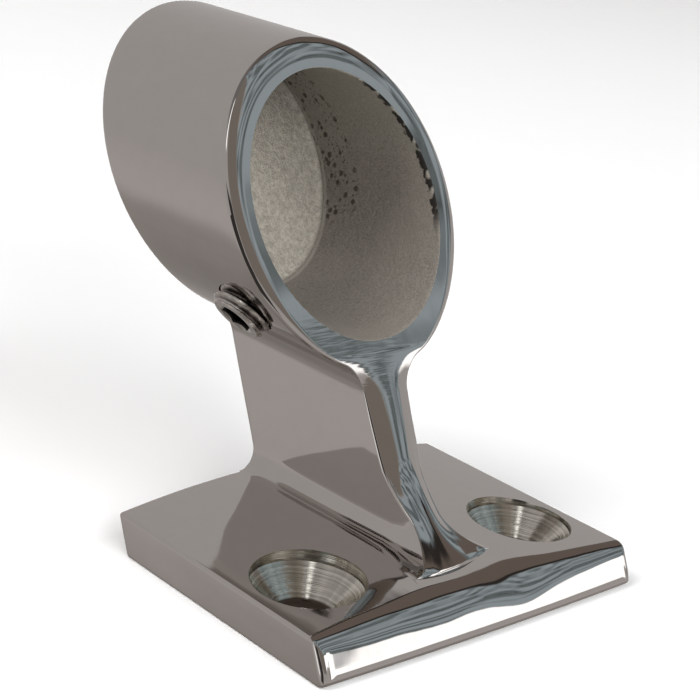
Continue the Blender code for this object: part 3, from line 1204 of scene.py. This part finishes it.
@dataclass
class Studio:
    """Pale floor, soft lights, sky and camera."""

    eye: Point = (0.097614, -0.106201, 0.068860)
    right: Point = (0.66863102, 0.73204116, 0.1305691)
    up: Point = (-0.31686117, 0.12163897, 0.94063965)
    back: Point = (0.67270466, -0.67031313, 0.31328701)
    lens: float = 86.47
    target: Point = (-0.005, 0.0, 0.02)
    floor_radius: float = 3.0
    warm: Point = (0.475, 0.455, 0.445)
    low: Point = (0.52, 0.49, 0.475)
    lower: Point = (0.345, 0.32, 0.305)
    table: Point = (0.27, 0.25, 0.235)
    ceiling: Point = (0.20, 0.19, 0.185)
    blue: tuple[Point, Point] = ((0.17, 0.20, 0.21), (0.39, 0.455, 0.49))
    branch: Point = (0.03, 0.03, 0.03)
    wood: tuple[Point, Point] = ((0.035, 0.03, 0.027), (0.17, 0.14, 0.12))
    brown: Point = (0.235, 0.21, 0.185)
    dark: Point = (0.045, 0.042, 0.04)
    slit_light: Point = (1.3, 1.3, 1.3)
    lamp_light: Point = (1.9, 1.9, 1.9)

    def build_camera(self) -> None:
        """Add the camera and make it the scene's."""
        camera = bpy.data.objects.new("camera", bpy.data.cameras.new("camera"))
        camera.data.lens = self.lens
        camera.data.sensor_width = 36.0
        camera.data.clip_start = 0.005
        bpy.context.scene.collection.objects.link(camera)
        axes = Matrix((self.right, self.up, self.back)).transposed().to_4x4()
        camera.matrix_world = Matrix.Translation(Vector(self.eye)) @ axes
        bpy.context.scene.camera = camera

    @staticmethod
    def dress(obj: Object, grain: tuple[float, float], tones: tuple[float, float],
              kind: str, values: dict) -> None:
        """Give a studio surface its grey.

        Args:
            obj: the surface.
            grain: the scale and detail of its slight unevenness.
            tones: its darkest and lightest grey.
            kind: its shader's node type.
            values: what is set on the shader beside its colour.
        """
        material = bpy.data.materials.new(obj.name + "_paper")
        material.use_nodes = True
        sheet = Sheet(material.node_tree)
        colour = sheet.blend(sheet.noise(sheet.place(), *grain), *((tone,) * 3 for tone in tones))
        shader = sheet.node(kind, {}, {0: colour, **values})
        sheet.node("ShaderNodeOutputMaterial", {}, {"Surface": shader})
        obj.data.materials.append(material)

    def build_floor(self) -> None:
        """Add the floor, which polished steel doesn't mirror."""
        deselect()
        bpy.ops.mesh.primitive_circle_add(vertices=96, radius=self.floor_radius, fill_type="NGON",
                                          location=(0.0, 0.0, -0.02 * MM))
        floor = bpy.context.object
        floor.name = "floor"
        floor.visible_glossy = False
        self.dress(floor, (60.0, 2.0), (0.96, 0.98), "ShaderNodeBsdfPrincipled",
                   {"Roughness": 0.9})
        floor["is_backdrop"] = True

    def build_backdrop(self) -> None:
        """Add a plain pale wall far round the floor, which only a camera sees."""
        deselect()
        bpy.ops.mesh.primitive_cylinder_add(vertices=96, radius=0.98 * self.floor_radius,
                                            depth=2 * self.floor_radius, end_fill_type="NOTHING",
                                            location=(0.0, 0.0, 0.9 * self.floor_radius))
        wall = bpy.context.object
        wall.name = "backdrop"
        for sight in ("glossy", "diffuse", "shadow", "transmission"):
            setattr(wall, "visible_" + sight, False)
        self.dress(wall, (2.0, 1.0), (0.84, 0.86), "ShaderNodeEmission", {"Strength": 1.0})
        wall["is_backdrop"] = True

    def light(self, name: str, place: Point, size: float, power: float,
              colour: Point = (1.0, 1.0, 1.0)) -> None:
        """Add a soft light that points at the part, and that polished steel doesn't mirror.

        Args:
            name: the light's name.
            place: where it is.
            size: its width and height.
            power: watts.
            colour: its tint.
        """
        data = bpy.data.lights.new(name, "AREA")
        data.shape = "RECTANGLE"
        data.size = data.size_y = size
        data.energy = power
        data.color = colour
        lamp = bpy.data.objects.new(name, data)
        bpy.context.scene.collection.objects.link(lamp)
        facing = (Vector(self.target) - Vector(place)).to_track_quat("-Z", "Y")
        lamp.matrix_world = Matrix.Translation(Vector(place)) @ facing.to_matrix().to_4x4()
        lamp.visible_glossy = False

    def build_sky(self) -> None:
        """Make the surroundings that the steel mirrors, placed by bearing and height."""
        world = bpy.data.worlds.new("room")
        bpy.context.scene.world = world
        world.use_nodes = True
        sheet = Sheet(world.node_tree)
        x, y, z = sheet.axes(sheet.node("ShaderNodeTexCoord", output="Generated"))
        around = y.result("ARCTAN2", y, x) * DEGREES
        height = z.result("ARCSINE", z) * DEGREES
        spot = sheet.joined(around * 0.03, height * 0.10)
        drift = (sheet.noise(spot, 1.3, 1.0) - 0.5) * 9.0
        bearing, level = around + drift, height + drift
        half_level = height + drift * 0.4

        shade = sheet.blend(level.rise(4.0, -16.0), self.warm, self.low)
        shade = sheet.blend(half_level.rise(-20.0, -32.0), shade, self.lower)
        shade = sheet.blend(level.rise(-32.0, -48.0), shade, self.table)
        shade = sheet.blend(height.rise(56.0, 70.0), shade, self.ceiling)

        streak = sheet.noise(spot, 2.4, 1.0, 0.4)
        view = sheet.blend(streak.rise(0.40, 0.60), *self.blue)
        branch = (streak - 0.37).size().rise(0.018, 0.006)
        view = sheet.blend(branch * 0.8, view, self.branch)
        window = bearing.within(26.0, 30.0, 115.0, 119.0) * half_level.rise(11.0, 13.0)
        shade = sheet.blend(window, shade, view)

        sill = 30.0 - 13.0 * around.within(97.0, 104.0, 111.0, 117.0)
        door = bearing.within(78.0, 81.0, 131.0, 135.0)
        door = door * (height + drift * 0.5 - sill).rise(0.0, 2.5)
        wood = sheet.blend(bearing.within(84.0, 87.0, 124.0, 128.0), *self.wood)
        shade = sheet.blend(door, shade, wood)

        post = around.within(-28.0, -22.0, 25.0, 29.0) * level.rise(8.0, 12.0)
        shade = sheet.blend(post, shade, self.brown)
        slit = (around + 82.0).size().rise(9.0, 7.5) * (height + 3.0).size().rise(11.0, 9.0)
        shade = sheet.blend(slit, shade, self.slit_light)
        maker = (bearing + 46.0).size().rise(18.0, 15.0) * height.within(-22.0, -18.0, 36.0, 40.0)
        shade = sheet.blend(maker, shade, self.dark)

        lamp = around.within(27.0, 32.0, 54.0, 61.0)
        lamp = lamp * (height - 7.0 + 0.3 * drift).size().rise(6.5, 5.4)
        bulb = (around + 50.0).size().rise(9.0, 6.0) * (height - 66.0).size().rise(12.0, 9.0)
        shade = sheet.blend(lamp.at_least(bulb), shade, self.lamp_light)
        background = sheet.node("ShaderNodeBackground", {}, {"Color": shade, "Strength": 1.0})
        sheet.node("ShaderNodeOutputWorld", {}, {"Surface": background})

    def build(self) -> None:
        """Build the whole studio."""
        bpy.context.scene.view_settings.view_transform = "Standard"
        self.build_camera()
        self.build_floor()
        self.build_backdrop()
        self.build_sky()
        self.light("key", (-0.5, -0.9, 1.4), 0.9, 16.0)
        self.light("fill", (1.2, 0.2, 1.2), 0.9, 12.0, (0.96, 0.98, 1.0))
        self.light("front", (0.9, -0.35, 0.45), 0.5, 6.0)


# --------------------------------------------------------------------------- the whole


def main() -> tuple:
    """Build the part and its studio.

    Returns:
        The CAD model's box.
    """
    logging.basicConfig(level=logging.INFO, format="%(name)s: %(message)s")
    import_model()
    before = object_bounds()
    casting, screw = Casting(), SetScrew()
    for piece, body, node, slot in (
        (casting.build(screw), "casting", "casting", "polished_stainless"),
        (screw.build(casting), "set_screw", "set_screw", "screw_steel"),
    ):
        log.info("%s: %d faces", piece.name, len(piece.data.polygons))
        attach(piece, body)
        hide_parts(node)
    casting.dress()
    screw.dress(casting)
    Studio().build()
    return before


if __name__ == "__main__":
    cad_box = main()
